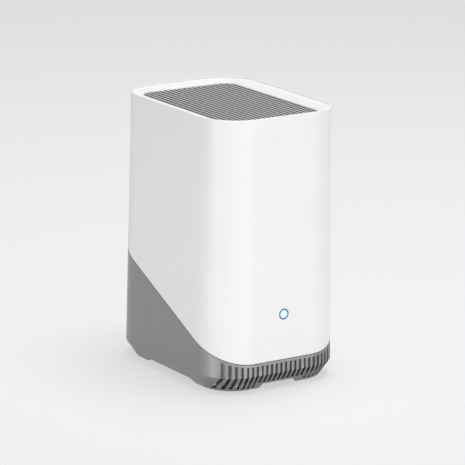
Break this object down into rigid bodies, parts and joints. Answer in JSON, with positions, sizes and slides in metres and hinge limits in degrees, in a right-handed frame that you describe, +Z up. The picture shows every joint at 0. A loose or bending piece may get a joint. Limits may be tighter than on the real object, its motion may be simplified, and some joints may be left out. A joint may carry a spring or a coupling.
{
  "type": "security camera base station",
  "caption": "Tower base station for wireless security cameras: white drafted sleeve over a grey vented base, slanted seam, sunk roof grille and a ring light.",
  "frame": {"origin": "centre of the footprint, on the floor that the feet stand on", "axes": "+Z up, the front with the ring light faces -Y, the sockets face +Y, +X to the right seen from the front"},
  "size_m": [0.1036, 0.1362, 0.185],
  "materials": {
    "white_shell": "fine satin moulded",
    "grille_grey": "satin moulded",
    "base_grey": "fine matte moulded",
    "inner_plastic": "plain moulded",
    "socket_plastic": "plain moulded",
    "contact_metal": "gold plated",
    "rubber_grey": "matte",
    "light_guide": "clear guide lit blue-violet",
    "light_cap": "lit pale cyan",
    "led_package": "plain",
    "board_green": "solder resist",
    "chip_black": "plain",
    "screw_steel": "zinc plated",
    "sheet_steel": "folded sheet",
    "heatsink_metal": "extruded",
    "pad_grey": "soft thermal pad",
    "magnet_steel": "plated",
    "cone_black": "coated cone",
    "stator_copper": "enamelled windings"
  },
  "bodies": {
    "case": {"outer_sleeve": "white_shell", "top_grille": "grille_grey", "base_housing": "base_grey", "base_plate": "base_grey", "rubber_feet": "rubber_grey", "case_screws": "screw_steel", "led_light_ring": "light_guide", "led_cap": "light_cap", "led_board": "board_green", "led_chip": "led_package", "led_screws": "screw_steel", "inner_frame": "inner_plastic", "frame_screws": "screw_steel", "drive_cage": "sheet_steel", "cage_screws": "screw_steel", "sata_board": "board_green", "sata_socket": "socket_plastic", "sata_screws": "screw_steel", "main_board": "board_green", "board_screws": "screw_steel", "processor": "chip_black", "thermal_pad": "pad_grey", "heatsink": "heatsink_metal", "heatsink_screws": "screw_steel", "rf_shields": "sheet_steel", "radio_chips": "chip_black", "port_panel": "socket_plastic", "dc_jack": "socket_plastic", "dc_pin": "contact_metal", "usb_port": "sheet_steel", "usb_tongue": "socket_plastic", "ethernet_jack": "socket_plastic", "jack_contacts": "contact_metal", "switch_housing": "chip_black", "upper_carrier": "inner_plastic", "carrier_screws": "screw_steel", "antenna_boards": "board_green", "fan_housing": "inner_plastic", "fan_stator": "stator_copper", "fan_screws": "screw_steel", "speaker_frame": "inner_plastic", "speaker_magnet": "magnet_steel", "speaker_cone": "cone_black", "speaker_chamber": "inner_plastic", "speaker_screws": "screw_steel"},
    "sync_button": {"sync_button": "base_grey", "switch_plunger": "inner_plastic"},
    "drive_bay_door": {"drive_bay_door": "base_grey", "door_screws": "screw_steel"},
    "fan_rotor": {"fan_rotor": "inner_plastic"}
  },
  "joints": [
    {"name": "sync_press", "type": "slide", "parent": "case", "child": "sync_button", "axis": [0, -1, 0], "range_m": [0, 0.0005], "stiffness_N_per_m": 2500},
    {"name": "door_release", "type": "slide", "parent": "case", "child": "drive_bay_door", "axis": [0, 0, -1], "range_m": [0, 0.03]},
    {"name": "fan_spin", "type": "hinge", "parent": "case", "child": "fan_rotor", "pos_m": [0, 0.0285, 0.168], "axis": [0, 0, 1], "continuous": true}
  ]
}
